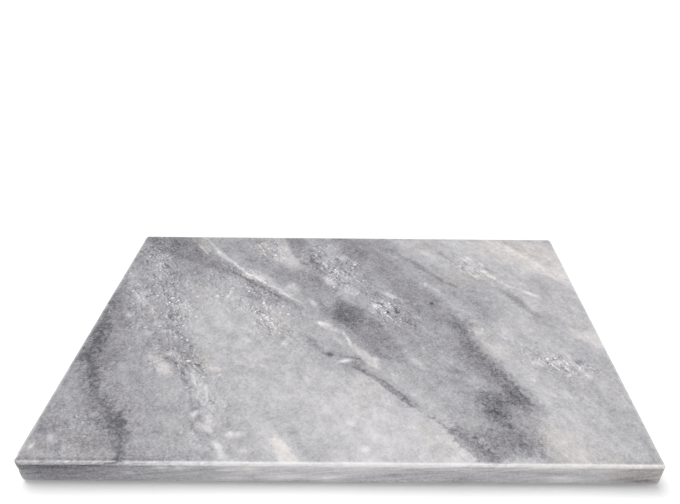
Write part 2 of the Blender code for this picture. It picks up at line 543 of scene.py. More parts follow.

# %% [markdown]
# Marble is uneven at every size. So the greys are built up as a painter lays
# washes: the broad tones first, then smaller patches over them, where the
# render was still lighter or darker than the photograph. Each row is a
# change of tone, the patch's place, its half-sizes and its turn.

# %% Broad tones of the top
for tone, x, y, long, wide, turn in (
    (14, -40, -75, 190, 95, -50), (20, 40, -128, 110, 60, -38), (-22, -200, -60, 210, 80, -64),
    (-22, -205, 95, 120, 70, -50), (24, 200, 115, 170, 95, -50), (14, 100, 138, 90, 34, -36),
    (12, 205, -20, 150, 60, -65), (20, 172, -122, 90, 44, -45), (-10, 85, -40, 100, 40, -60),
    (14, -130, 30, 90, 45, -55), (-14, 116, 36, 60, 26, -50), (12, -70, 10, 50, 30, -50),
    (-14, -125, 128, 44, 22, -50), (-22, -50, 72, 70, 36, -40), (-14, -26, 60, 30, 18, -50),
    (8, -20, 118, 46, 18, -65), (-18, -20, 22, 34, 18, -40), (20, 142, -44, 90, 28, -63),
    (-14, 200, 65, 26, 12, -50), (10, 224, 90, 60, 18, -75), (-10, 15, 122, 24, 14, -60),
    (-14, -146, -32, 50, 26, -55), (-16, -2, -44, 44, 22, -35), (-10, 46, 4, 60, 30, -55),
    (-12, -100, 106, 30, 18, -50), (8, 190, -85, 60, 30, -60), (8, 84, -112, 30, 16, -45),
    (-14, -40, 138, 44, 18, -60), (-14, -170, 140, 30, 14, -60), (-12, 40, 140, 24, 12, -50),
    (12, 92, 112, 60, 18, -50), (-12, 18, 80, 34, 16, -50), (10, 172, -20, 70, 24, -60),
    (10, 172, 8, 30, 18, -60), (12, 12, 4, 34, 20, -50), (16, 150, -138, 60, 26, -30),
    (-10, -100, 104, 26, 14, -50), (12, 106, 30, 40, 18, -60), (-8, -70, 100, 50, 20, -50),
    (8, -212, 60, 50, 18, -70), (8, 60, 134, 20, 12, -40), (-14, -90, 148, 56, 16, -12),
    (-16, -72, 140, 20, 14, -60), (-12, 92, 136, 32, 22, -30), (-18, -10, 97, 18, 13, -60),
    (-12, -112, 92, 24, 11, -15), (-12, -152, 80, 26, 16, -40), (-18, -85, 38, 24, 14, -50),
    (-18, -219, 33, 28, 11, -75), (-15, -204, 2, 18, 12, -60), (-15, -158, -2, 18, 13, -70),
    (-22, -127, -52, 38, 14, -60), (-17, 112, 3, 28, 15, 50), (-13, 180, 1, 26, 18, 90),
    (-12, 133, -55, 30, 10, -65), (-16, 152, -98, 20, 12, -50), (-20, 120, -111, 24, 15, -30),
    (-18, 91, -121, 20, 9, -50), (-14, -97, -127, 18, 12, -40), (-14, -217, -132, 32, 15, -65),
    (-10, -180, -134, 30, 13, -20), (-9, -62, -14, 44, 30, -60), (-12, 25, 50, 24, 15, -50),
    (-11, 191, 62, 24, 14, -50), (-11, 162, 94, 22, 11, -50), (-11, -198, -44, 28, 11, -60),
):
    patch(x, y, long, wide, turn, tone=tone)
print("Nodes with the broad tones:", len(tree.nodes))

# %% [markdown]
# Inside the broad tones lie lighter and darker places, mostly 20 to 80 mm long,
# and the smallest ones only correct what those leave.

# %% Smaller tones of the top
for tone, x, y, long, wide, turn in (
    (-11, -36, 75, 16, 10, -20), (19, -195, 79, 26, 16, -60), (13, -105, 118, 26, 13, -75),
    (20, -67, 103, 30, 13, -42), (19, 72, 72, 48, 10, -55), (19, 209, 87, 42, 14, -38),
    (14, 170, 130, 40, 20, -62), (12, 145, -5, 22, 13, -80), (17, 226, -18, 22, 18, -60),
    (16, -228, -32, 18, 14, -60), (9, -148, -82, 44, 26, -20), (13, -170, -108, 30, 15, -40),
    (13, 113, -74, 26, 13, -65), (10, 91, -48, 24, 12, -50), (28, 91, -149, 26, 20, -30),
    (14, 122, -152, 26, 11, 0), (9, -50, -138, 40, 24, -50), (10, 18, 99, 18, 15, -60),
    (11, 15, -149, 28, 12, 0), (10, -195, 41, 20, 10, -25), (10, 63, -87, 22, 12, -60),
    (8, -90, -48, 22, 12, -20), (12, 28, 20, 18, 14, 0), (13, 48, -42, 22, 12, -20),
    (12, 82, -134, 22, 10, -25), (10, 153, -13, 18, 10, -60), (11, -163, 30, 22, 10, -35),
    (9, 80, 113, 22, 14, -50), (9, 196, 106, 26, 14, -70), (8, 162, -100, 24, 9, -65),
    (8, 138, 136, 38, 12, 10), (7, -70, -87, 38, 16, -40), (8, 22, -26, 16, 8, 0),
    (8, 95, 30, 30, 9, 80), (-12, -104, 87, 26, 11, -35), (-14, 12, -1, 24, 13, 0),
    (-13, 7, -56, 16, 9, -45), (-11, -36, 118, 18, 9, -60), (-13, 32, 142, 20, 13, 70),
    (-11, -20, 143, 16, 10, 60), (-10, -186, 105, 16, 9, -35), (-10, -157, 5, 18, 9, -40),
    (-10, 79, -2, 18, 9, -50), (-11, 134, -62, 28, 9, -62), (-10, 128, -96, 28, 10, -30),
    (-10, 95, -126, 14, 8, -45), (-10, 108, -139, 16, 9, -20), (-12, 150, -146, 18, 14, 70),
    (-11, -20, -146, 22, 11, 75), (-9, -151, -147, 12, 12, 0), (-9, 108, 118, 16, 11, -60),
    (-8, -49, 18, 34, 12, -85), (-9, -110, -110, 22, 10, -70), (-9, 0, 145, 14, 12, 0),
    (-10, -222, -108, 34, 24, 80), (-11, -226, -6, 20, 13, 0), (-9, -224, 36, 24, 12, 80),
    (-8, -122, -150, 26, 9, 0), (-8, -145, 80, 24, 12, -20), (-7, -126, 54, 26, 12, -40),
    (-10, -18, 16, 18, 12, -70), (-8, -3, 38, 14, 10, -70), (-8, -80, 38, 20, 11, 60),
    (-7, -60, 26, 20, 10, -20), (-9, -222, 142, 26, 9, 0), (-9, -112, 140, 18, 10, 0),
    (-6, -160, 143, 60, 9, -10), (-8, 102, 152, 26, 9, 0), (-7, -16, -45, 24, 9, 15),
    (-7, 15, 8, 18, 10, -70), (-8, 55, 12, 14, 12, 0), (12, 127, 82, 24, 14, -30),
    (7, 160, 54, 28, 9, -50), (8, 70, 84, 24, 10, -70),
):
    patch(x, y, long, wide, turn, tone=tone)
print("Nodes with the smaller tones:", len(tree.nodes))

# %% Smallest tones of the top
for tone, x, y, long, wide, turn in (
    (8, 46, 112, 18, 10, -50), (8, -207, 106, 20, 14, -70), (8, -176, 44, 18, 12, 80),
    (7, -91, 61, 18, 9, -45), (7, -66, 92, 28, 14, -30), (8, 58, -4, 20, 12, 0),
    (7, 10, -28, 16, 10, -30), (8, 111, -68, 30, 10, -65), (8, 205, -70, 26, 10, -65),
    (8, 220, -84, 24, 10, -30), (-8, 212, -50, 18, 12, -30), (-6, 158, -50, 12, 10, 0),
    (8, 214, -6, 20, 13, -60), (8, 224, 62, 16, 12, 0), (7, 194, -130, 16, 9, 70),
    (-8, 149, -86, 28, 8, -80), (-9, 95, -107, 16, 12, 0), (-8, 115, -134, 26, 10, 20),
    (7, 66, -115, 14, 10, 0), (7, 50, -142, 14, 10, 0), (-8, 115, -10, 16, 11, 60),
    (-7, 131, 10, 12, 9, -60), (-7, -168, 99, 24, 10, -25), (-7, -148, 120, 16, 10, -50),
    (7, -190, 9, 20, 9, 0), (-7, -208, -122, 30, 12, -10), (-7, -98, -62, 18, 12, 0),
    (-6, -205, 20, 24, 12, -60), (6, 90, -60, 30, 14, -60), (6, -200, 50, 40, 16, -60),
    (6, 138, -34, 20, 12, -80), (7, -160, -60, 16, 9, -60), (-6, -12, 148, 24, 8, 0),
    (-5, 178, 84, 20, 12, -50), (9, -199, 97, 28, 12, -62), (9, -184, 55, 32, 11, -62),
    (10, -157, 26, 24, 12, -45), (10, -6, -16, 18, 12, -55), (8, 7, -28, 14, 8, -30),
    (12, -92, 66, 26, 14, -45), (8, 44, -78, 26, 22, -40), (10, -48, 59, 20, 13, -60),
    (9, 7, 76, 18, 13, -40), (8, -111, 72, 18, 9, -20), (8, -16, 55, 14, 8, 20), (9, 52, -40, 14, 12, 0),
    (10, 183, -38, 16, 14, 0), (10, 226, -115, 16, 16, 0), (9, 142, 146, 14, 14, 0),
    (10, -85, 141, 14, 14, 0), (9, 14, -69, 20, 8, 0), (9, 29, 14, 8, 14, 0), (8, 121, 40, 10, 14, 0),
    (8, 147, 8, 10, 12, -45), (8, -164, -56, 12, 10, 0), (9, 127, -150, 14, 10, 0),
    (8, -170, -92, 14, 8, -10), (8, -162, -104, 14, 8, -60), (8, -75, 106, 16, 12, 0),
    (-10, -107, -54, 18, 10, -60), (-9, -120, -89, 14, 12, -30), (-10, -168, -124, 24, 10, -55),
    (-13, -88, -147, 16, 22, 0), (-9, -121, -132, 18, 10, -40), (-9, -130, -150, 16, 8, 0),
    (-10, -7, 106, 14, 12, 0), (-8, 0, 141, 8, 12, 0), (-10, 36, 45, 14, 12, -20),
    (-9, 189, 22, 16, 9, 30), (-10, -208, -4, 10, 20, 0), (-9, -219, 91, 14, 9, -60),
    (-9, -203, -48, 12, 9, 0), (-8, 173, -84, 16, 8, -70), (-9, -193, -95, 12, 9, 0),
    (-8, 214, -149, 20, 8, 0), (-9, -23, -124, 8, 14, 0), (-8, 142, 86, 10, 9, 0),
    (-8, -64, 132, 12, 8, -60), (-8, -180, 17, 18, 7, -30), (-9, -220, 17, 16, 8, -60),
):
    patch(x, y, long, wide, turn, tone=tone)
print("Nodes with the smallest tones:", len(tree.nodes))

# %% [markdown]
# The dark bands are where the graphite lies thickest. The old beds were torn
# and healed with white calcite, which gave the light veins, and thin films of
# graphite along the tears gave the thin dark ones.

# %% Dark bands
vein(12, ((-240, 176, 14), (-205, 148, 24), (-188, 132, 24), (-168, 116, 20), (-150, 103, 16),
          (-132, 90, 13), (-112, 76, 11), (-94, 62, 10), (-78, 50, 9), (-64, 39, 9), (-50, 27, 6),
          (-36, 14, -3)), tone=-30)
vein(20, ((-238, 78, -8), (-228, 48, 9), (-224, 30, 12), (-221, 10, 14), (-219, -8, 18), (-218, -22, 19),
          (-216, -42, 19), (-208, -58, 16), (-202, -72, 14), (-196, -84, 13), (-189, -96, 14),
          (-180, -106, 17), (-172, -113, 19), (-165, -122, 16), (-160, -133, 13), (-156, -146, 11),
          (-149, -165, 9), (-140, -195, -8)), rough=9, edge="dappled", tone=-27)
vein(18, ((-232, 40, -8), (-226, 20, 5), (-221, -4, 11), (-219, -18, 14), (-218, -32, 12), (-214, -46, 12),
          (-207, -58, 11), (-203, -70, 11), (-197, -80, 9), (-189, -92, 11), (-180, -102, 13),
          (-171, -110, 15), (-164, -119, 14), (-160, -128, 11), (-158, -138, 8), (-155, -152, 9),
          (-148, -170, -8)), rough=10, edge="dappled", tone=-30)
vein(8, ((-68, 182, 10), (-60, 145, 12), (-55, 128, 13), (-47, 112, 11), (-40, 102, 12), (-30, 92, 9),
         (-22, 80, 5), (-12, 68, -3)), tone=-24)
vein(14, ((-10, 190, 24), (4, 142, 26), (14, 122, 27), (36, 98, 25), (55, 75, 26), (66, 52, 27),
          (80, 26, 25), (94, 6, 18), (106, -14, -3)), tone=-23)
vein(5, ((28, 142, -3), (42, 127, 7), (54, 117, 6), (66, 106, 6), (77, 94, 6), (88, 80, 5), (98, 69, 4),
         (108, 60, 4), (120, 52, -3)), tone=-22)
vein(9, ((-13, 42, -3), (-1, 22, 17), (7, 3, 25), (18, -15, 24), (31, -30, 19), (45, -42, 13),
          (60, -58, -3)), tone=-28)
vein(14, ((92, 34, -8), (100, 12, 8), (104, -8, 13), (107, -28, 18), (111, -42, 19), (117, -56, 20),
          (123, -70, 21), (129, -84, 24), (133, -96, 24), (137, -110, 20), (141, -126, 18),
          (145, -146, 8), (152, -170, -8)), rough=7, edge="dappled", tone=-24)
vein(9, ((100, 14, -8), (104, 2, 3), (107, -12, 6), (109, -28, 9), (116, -42, 9), (124, -54, 9),
         (130, -66, 10), (135, -78, 12), (139, -90, 11), (143, -101, 7), (150, -112, -8)),
     rough=9, edge="dappled", tone=-18)
vein(4, ((56, -94, -8), (64, -104, 1.4), (70, -110, 2), (76, -117, 3), (83, -124, 5), (90, -131, 8),
         (98, -139, 9), (106, -148, 9), (116, -160, 6), (130, -182, -8)),
     rough=5, edge="dappled", tone=-40)
for tone, x, y, long, wide, turn, edge in (
    (-32, 1, 15, 34, 22, -50, 0.8), (-14, -4, 8, 14, 10, -60, 0.9), (-30, 118, -97, 34, 24, -80, 0.8),
    (-24, 140, -90, 26, 16, -60, 0.8), (-38, 124, -131, 44, 26, -20, 0.8),
    (-16, -214, -24, 22, 11, -60, 0.9), (-10, -168, -116, 20, 11, -60, 0.9),
    (-12, -206, -64, 26, 8, -65, 0.9), (-12, -190, 138, 26, 14, -50, 0.9),
    (-16, -222, -42, 16, 10, -40, 0.9), (-14, -96, 65, 26, 8, -42, 0.9), (-14, -48, 140, 20, 9, -65, 0.9),
    (-14, -38, 104, 12, 8, -30, 0.9),
):
    patch(x, y, long, wide, turn, edge, 0.25, tone=tone)
print("Nodes with the dark bands:", len(tree.nodes))

# %% Light veins
vein(1.6, ((-178, 168, -3), (-168, 155, 1.5), (-162, 148, 2), (-157, 143, 1.6), (-151, 136, 2.2),
           (-146, 129, 2.4), (-141, 122, 2.8), (-137, 116, 4.2), (-132, 111, 3.2), (-126, 105, 2.6),
           (-120, 98, 2.8), (-113, 91, 2.4), (-107, 84, 2.2), (-101, 78, 2.2), (-95, 74, 1.8),
           (-90, 69, 1.4), (-84, 65, 1.2), (-77, 59, 1.6), (-72, 56, 2.2), (-67, 51, 3.2), (-62, 46, 2.8),
           (-56, 41, 2), (-46, 33, 1.2), (-38, 27, -3)), rough=0.9, tone=28, warmth=0.1)
vein(4, ((-128, 108, -3), (-117, 98, 5), (-106, 89, 6), (-96, 80, 8), (-88, 73, 9), (-81, 67, 8),
         (-74, 60, 6), (-65, 54, 6), (-56, 45, 5), (-46, 36, -3)), rough=1.8, tone=19)
vein(1.2, ((-172, 143, -3), (-166, 136, 1.4), (-162, 130, 2), (-158, 125, 1.6), (-155, 121, 1.8),
           (-152, 117, 1.6), (-150, 113, 1), (-147, 108, -3)), rough=0.8, tone=34, warmth=0.5)
vein(3, ((-172, 152, -3), (-162, 140, 4), (-157, 132, 5), (-152, 124, 4), (-148, 116, -3)),
     rough=1.2, tone=12, warmth=0.8)
vein(5, ((-86, 175, 9), (-76, 150, 9), (-71, 132, 10), (-67, 118, 10), (-60, 107, 8), (-54, 98, 7),
         (-47, 88, 4), (-40, 78, -3)), tone=24, warmth=0.5)
vein(4, ((-36, 10, -3), (-26, 3, 3), (-18, -2, 6), (-9, -8, 6), (-2, -13, 3), (3, -21, 3),
         (9, -30, 5), (17, -40, 6), (26, -53, 5), (34, -66, -3)), rough=2, tone=22, warmth=0.15)
vein(4, ((-140, -42, -3), (-123, -66, 4), (-111, -86, 7), (-102, -103, 6), (-99, -118, 4), (-93, -130, 3),
         (-87, -141, 4), (-78, -153, 6), (-60, -182, -3)), tone=16)
vein(4, ((110, 120, -3), (126, 108, 5), (134, 96, 6), (141, 86, 5), (150, 75, 5), (162, 62, 4),
         (172, 56, 3), (182, 48, 4), (192, 38, -3)), tone=15, warmth=0.3)
vein(5, ((162, 156, -3), (174, 138, 5), (190, 116, 5), (203, 100, 5), (220, 80, -3)), tone=9, warmth=0.3)
vein(6, ((196, 6, -3), (208, -8, 6), (217, -17, 8), (228, -26, 8), (245, -42, -3)), tone=14, warmth=0.6)
vein(5, ((-58, -114, -3), (-48, -130, 5), (-41, -142, 8), (-33, -155, 7), (-20, -182, -3)),
     tone=28, warmth=0.7)
print("Nodes with the light veins:", len(tree.nodes))

# %% Thin dark veins
vein(2.5, ((-126, 90, -3), (-119, 84, 1.5), (-112, 78, 2.6), (-104, 71, 2.6), (-98, 66, 3.6),
           (-92, 61, 3.6), (-85, 56, 2.8), (-79, 51, 2.2), (-72, 46, 2), (-64, 40, 1.6), (-54, 32, -3)),
     rough=0.8, tone=-26, warmth=0.3)
vein(2, ((-171, 133, -3), (-166, 126, 2), (-161, 118, 2.6), (-156, 112, 2.2), (-151, 105, -3)),
     rough=0.8, tone=-16)
vein(2.4, ((-2, -47, -3), (6, -54, 0.8), (12, -58, 1.8), (20, -63, 2.7), (29, -70, 3.5), (39, -80, 4.3),
           (48, -89, 3.8), (55, -97, 2), (62, -104, 0.9), (72, -113, -3)), rough=1.0, tone=-40)
vein(5, ((0, -46, -3), (10, -54, 3), (20, -60, 4), (31, -67, 5), (42, -78, 6), (52, -89, 5),
         (62, -101, 3), (76, -114, -3)), rough=1.5, tone=-18)
vein(2.5, ((-10, -41, -3), (0, -43.5, 2.5), (9, -44, 2.5), (16, -49, 2), (26, -59, -3)), rough=1.5, tone=-30)
vein(5, ((-46, -8, -3), (-36, -19, 5), (-28, -28, 6), (-20, -37, 5), (-10, -45, -3)), tone=-24)
vein(6, ((-162, -30, -3), (-148, -46, 6), (-134, -64, 6), (-123, -84, 5), (-112, -102, 5),
         (-99, -122, -3)), tone=-16)
vein(4, ((144, 66, -3), (153, 54, 4), (161, 43, 5), (169, 33, 6), (175, 22, 5), (185, 12, 5),
         (194, 0, -3)), tone=-17)
vein(3, ((166, 162, -3), (176, 146, 4), (186, 132, 3), (196, 118, -3)), tone=-12)
vein(3, ((182, 112, -3), (191, 100, 3), (201, 91, 3), (212, 78, -3)), tone=-10)
print("Nodes with the veins:", len(tree.nodes))

# %% [markdown]
# Single large crystals and crushed places show as spots. Where the crystals
# are coarse, the flecks below grow stronger, and a trace of iron makes some
# places cream or pink.

# %% Spots
for tone, warmth, x, y, long, wide, turn in (
    (46, 0.3, -17, 68, 18, 8, -75), (18, 0.1, 3, 51, 20, 14, -50), (50, 0.1, 42, 45, 13, 5, -38),
    (44, 0.5, -149, -60, 14, 10, -50), (10, 0.5, -113, -52, 34, 16, -58), (62, 0.2, 1, -48, 9, 3.8, 10),
    (18, 0.3, -20, 0, 9, 6, -20), (34, 0.0, 4, -22, 11, 3, -70), (22, 0.0, -140, 120, 7, 6, 0),
    (38, 0.1, -54, 57, 14, 9, -55), (16, 0.2, -97, 76, 20, 10, -45), (20, 0.1, -30, 28, 9, 5, -60),
    (24, 0.2, 65, -51, 16, 5, -52), (-18, 0.0, -102, 128, 16, 11, -60), (12, 0.6, -92, 132, 34, 14, -70),
    (-22, 0.0, 91, -60, 14, 6, -20), (-56, 0.0, -12.5, -40, 5, 4.4, 0), (22, 0.1, 8, -116, 7, 5, -30),
    (28, 0.1, 19, -139, 9, 5, 5), (34, 0.0, -82, -127, 5, 5, 0), (20, 0.1, -30, -70, 9, 4, -65),
    (22, 0.1, -54, -26, 9, 6, 80), (18, 0.0, -86, -22, 11, 4, -45), (36, 0.0, -102.5, -121, 13, 5, -40),
    (48, 0.0, -112, -107, 7, 5, 30), (16, 0.0, -118, -92, 14, 8, -70), (38, 0.0, -149, -41, 8, 5, -20),
    (24, 0.0, -141, -47, 7, 4, -60), (30, 0.0, -160, -12, 8, 4, -10), (28, 0.0, -175, -15, 7, 5, -45),
    (22, 0.0, -172, -1, 8, 5, -55), (26, 0.0, -156, 0, 7, 5, -20), (28, 0.0, -183, -58, 10, 5, -50),
    (32, 0.0, -188, -109, 5, 4, 0), (44, 0.2, -222, -138, 4, 4, 0), (28, 0.2, -211, -131, 9, 6, -60),
    (26, 0.0, -201, 11, 7, 5, -40), (24, 0.2, -114.5, 43, 14, 3.5, 72), (26, 0.1, 165, -48, 10, 7, 0),
    (28, 0.1, 118, 7, 6, 5, 0), (16, 0.3, 120, -8, 14, 9, -50), (22, 0.0, -196, 34, 20, 6, -40),
    (20, 0.0, -196, 110, 12, 8, -10), (-50, 0.0, 82, 33, 3, 5, 0), (30, 0.4, -160, -48, 18, 9, -50),
    (28, 0.0, -90, -137, 9, 5, -30), (22, 0.1, -85, -145, 10, 6, -55), (30, 0.0, -76, -126, 7, 4, -10),
    (20, 0.0, -70, -142, 5, 4, 0), (26, 0.0, -107, -60, 9, 5, -10), (24, 0.0, -123, -69, 8, 5, -60),
    (24, 0.2, -24, 2, 5, 4, -60), (26, 0.0, -1.5, -13, 8, 2.4, -85), (24, 0.0, 28, -47, 5, 4, 80),
    (-12, 0.0, 13, -54, 16, 9, -50), (34, 0.0, -42, 105, 5, 4, 0), (36, 0.0, -33.5, 104, 5, 4, 0),
    (30, 0.2, -24, 100, 6, 5, 0), (34, 0.0, -6, 110, 5, 8, -20), (20, 0.0, 7, 101, 5, 5, 0),
    (24, 0.0, -12.5, 87, 5, 5, 0), (30, 0.0, 78, 62, 3, 6, 0), (22, 0.0, 88, 55, 12, 4, -50),
    (30, 0.2, 132, 78, 5, 5, 0), (34, 0.2, 140, 86, 7, 5, -30), (24, 0.0, 137, 42, 4, 5, 0),
    (24, 0.0, 67, 11, 5, 4, 0), (30, 0.0, 28, 27, 8, 7, 0), (24, 0.0, 40, 28, 9, 6, -50),
    (26, 0.0, -32, 32, 11, 4, -65), (24, 0.0, 186, -49, 12, 5, 0), (24, 0.0, 196, -55, 9, 4, -55),
    (22, 0.0, 202, -65, 5, 5, 0), (20, 0.1, 178, -84, 6, 9, 0), (-16, 0.0, 200, -48, 8, 5, -70),
    (24, 0.1, 127, 93, 9, 6, -40), (22, 0.1, 129, 111, 9, 4, -60), (20, 0.1, 140, 100, 8, 3, -55),
    (22, 0.1, 147, 77, 9, 4, -40), (24, 0.0, 182, 48, 12, 4, -40), (16, 0.0, 165, 60, 7, 4, 0),
    (14, 0.1, 178, 31, 26, 9, -65), (-15, 0.0, 164, 43, 30, 6, -52), (12, 0.0, 84, 121, 18, 6, -40),
    (-10, 0.0, 105, 117, 16, 5, -55), (12, 0.0, 155, 20, 10, 4, -55),
):
    patch(x, y, long, wide, turn, tone=tone, warmth=warmth)
print("Nodes with the spots:", len(tree.nodes))

# %% Where the crystals are coarse
for unrest, x, y, long, wide, turn in (
    (1.2, -195, 60, 120, 60, -65), (0.8, -205, 120, 50, 40, -50), (1.1, -100, 55, 90, 50, -40),
    (1.0, -160, 15, 60, 34, -60), (1.9, -12, 92, 80, 38, -60), (1.8, 42, 22, 50, 26, -55),
    (1.2, -70, 5, 50, 28, -50), (1.4, 180, -50, 56, 24, -20), (1.0, 130, 90, 56, 22, -45),
    (1.2, -120, -65, 80, 22, -62), (0.9, -150, -50, 40, 24, -60), (1.4, -85, 126, 50, 24, -60),
    (0.7, -104, -130, 36, 16, -60), (0.8, -200, -128, 40, 20, -60), (0.6, 120, -5, 26, 14, -50),
    (-0.3, -30, -110, 120, 60, -40), (-0.3, 80, 110, 120, 40, -50),
):
    patch(x, y, long, wide, turn, unrest=unrest)
print("Nodes with the coarse places:", len(tree.nodes))

# %% Where the stone is cream or pink
for warmth, x, y, long, wide, turn in (
    (0.7, 195, 120, 130, 60, -45), (0.5, 80, 132, 40, 20, -40), (0.2, -140, 40, 60, 28, -50),
    (0.2, -68, 5, 46, 22, -50), (0.2, 15, -85, 50, 22, -40), (0.5, 75, -130, 46, 20, -42),
    (0.5, 168, -135, 60, 26, -40), (0.4, 130, -30, 60, 20, -60), (0.3, 200, 10, 70, 30, -60),
    (0.5, 118, 76, 60, 26, -25), (0.4, 150, 2, 34, 18, -70), (0.3, 190, -66, 60, 16, -10),
    (0.4, -200, -138, 50, 22, -10),
):
    patch(x, y, long, wide, turn, warmth=warmth)
print("Nodes with the warm places:", len(tree.nodes))

# %% [markdown]
# Beds that lie beyond the slab's top come out on its sides and its underside.

# %% Beds beyond the top
vein(12, ((140, 310, 10), (230, 190, 14), (290, 110, 12), (330, 40, 14), (390, -80, 10)), tone=-30)
vein(8, ((220, 320, 4), (300, 200, 8), (370, 100, 6), (430, 0, 8)), tone=22, warmth=0.3)
vein(6, ((320, 320, 3), (400, 180, 6), (440, 100, 4)), tone=-26)
vein(14, ((235, 130, 10), (270, 40, 14), (300, -40, 12), (330, -120, 10)), tone=-18)
print("Nodes with the beds beyond the top:", len(tree.nodes))

# %% [markdown]
# On the sides each bed is seen almost along its length, so the light and dark
# bands thin out into each other there. Down the sides the tone eases to a side
# tone paler than the top's: partly the sawn faces' own tone, partly painted
# fill light for faces that the lamp barely reaches. The front has its own long
# flat streaks, drawn where the photograph shows them, and two long marks of
# painted light and shade.

# %% Sides
# The side tone is paler than the top's: partly the sawn faces' own tone, partly painted fill light for faces
# the lamp barely reaches.
SIDE_TONE_AND_FILL = 198.0
FADE_START, FADE_END = 1.0, 4.0
LEAST_HELD = 0.2
hold = add(tree, "MapRange", {
    "Value": depth, "From Min": FADE_START, "From Max": FADE_END, "To Min": 1.0, "To Max": LEAST_HELD,
}, interpolation_type="SMOOTHSTEP", clamp=False)
deeper = add(tree, "Math", {0: fields["tone"], 1: SIDE_TONE_AND_FILL}, operation="SUBTRACT")
fields["tone"] = add(tree, "Math", {0: deeper, 1: hold, 2: SIDE_TONE_AND_FILL}, operation="MULTIPLY_ADD")
# Two long marks here are painted light: the light one 2.8 mm below the top is a painted highlight under the
# front arris, lighter as if lit from above, and the dark one 18.8 mm below is painted shade along the bottom
# of the front.
for tone, x, below, long, high, dip in (
    (-60, -208, 10, 130, 60, 0), (-28, -174, 3.0, 20, 1.8, 2), (-24, -202, 4.6, 34, 2.4, 3),
    (46, -125, 4.2, 8, 2.6, -8), (34, -149, 10, 5, 2.4, 0), (20, -113, 3.5, 6, 5, 0),
    (32, -80, 6.6, 9, 1.8, -4), (28, -64, 5.5, 9, 3.2, 0), (24, -75, 15, 14, 2.6, -2),
    (22, -42, 13.5, 20, 6, -3), (20, -8, 15, 16, 5, -2), (-16, -92, 8, 16, 7, 0),
    (-16, 50, 4.2, 6, 2.8, 0), (18, 84, 3.4, 46, 2.6, 0), (-10, 45, 6.4, 44, 1.4, 0),
    (-20, 38, 12, 8, 3.4, 0), (-12, 90, 14, 14, 3, 0), (-18, 142, 8, 64, 3.0, 4),
    (24, 157, 13, 15, 6, -2), (-28, 214, 10, 30, 18, 0), (-36, 214, 15.5, 20, 3.4, 2),
    (-22, 214, 4.0, 22, 1.8, 0), (-10, 90, 10, 80, 20, 0), (8, -40, 3.0, 60, 4, 0), (8, 10, 9, 60, 12, 0),
    (18, 75, 2.8, 190, 5, 0), (18, -222, 14, 18, 10, 0), (12, -175, 17.5, 110, 5, 0),
    (-9, 65, 18.8, 180, 3, 0), (-14, 198, 17, 14, 5, 0), (14, -26, 14, 50, 6, 0), (8, 166, 14, 40, 6, 0),
):
    mark(x, below, long, high, dip, tone=tone)
mark(213, 9, 40, 22, 0, warmth=1.2)
print("Nodes with the sides:", len(tree.nodes))

# %% [markdown]
# Between the strokes the stone is never even. What fills it is noise drawn out
# along the strike. It dips more steeply than the beds and slides only about
# half as far, or the sides would show it as plain lines.

# %% Noise along the strike
tone = fields["tone"]
NOISE_SLIDE = 0.55
steep = add(tree, "Math", {
    0: depth, 1: (NOISE_SLIDE - 1.0) * BED_SLIDE.length, 2: across,
}, operation="MULTIPLY_ADD")
strike_plan = add(tree, "CombineXYZ", {"X": along, "Y": steep})


def stretched_noise(long, wide, detail, shift=0.0, distortion=0.0):
    """Noise drawn out along the strike. Its grain is long by wide, in mm."""
    source = add(tree, "VectorMath", {
        0: strike_plan, 1: (1 / long, 1 / wide, 1.0), 2: (shift / long, shift / wide, 0.0),
    }, operation="MULTIPLY_ADD")
    return add(tree, "TexNoise", {
        "Vector": source, "Scale": 1.0, "Detail": detail, "Roughness": 0.6, "Distortion": distortion,
    })


def shade(field, low, high, change, gain):
    """Add a change to the tone where a field goes from low to high, times a gain."""
    step = add(tree, "MapRange", {
        "Value": field, "From Min": low, "From Max": high, "To Max": change,
    }, interpolation_type="SMOOTHSTEP", clamp=False)
    return add(tree, "Math", {0: step, 1: gain, 2: tone}, operation="MULTIPLY_ADD")


print("Noise slides", round(NOISE_SLIDE * BED_SLIDE.length, 1), "mm for each mm down")

# %% [markdown]
# Faint streaks, up to 200 mm long, and soft clouds between them are the
# broadest of it.

# %% Streaks and clouds
for change, long, wide, detail in ((6, 200, 40, 3), (8, 50, 13, 4)):
    streak = add(tree, "MapRange", {
        "Value": stretched_noise(long, wide, detail), "From Min": 0.25, "From Max": 0.75,
        "To Min": -change, "To Max": change,
    })
    tone = add(tree, "Math", {0: tone, 1: streak})
for change, size in ((9, 14.0), (7, 5.0)):
    cloud = add(tree, "TexNoise", {
        "Vector": strike_plan, "Scale": 1 / size, "Detail": 2.0, "Roughness": 0.5,
    })
    cloud = add(tree, "MapRange", {
        "Value": cloud, "From Min": 0.3, "From Max": 0.7, "To Min": -change, "To Max": change,
    })
    tone = add(tree, "Math", {0: tone, 1: cloud})
print("Nodes with the streaks and clouds:", len(tree.nodes))

# %% [markdown]
# Where the rock was crushed and healed, crystals of calcite show as short light
# flecks, each with a painted shade on its lee side as if it stood up and caught
# the light, and as single crystals with a dark rim. They gather in clusters,
# and hairlines run between them.

# %% Flecks, crystals and hairlines
FLECK_EDGE = (0.54, 0.64)
SPECK_EDGE = (0.55, 0.66)
HAIRLINE_EDGE = (0.02, 0.004)
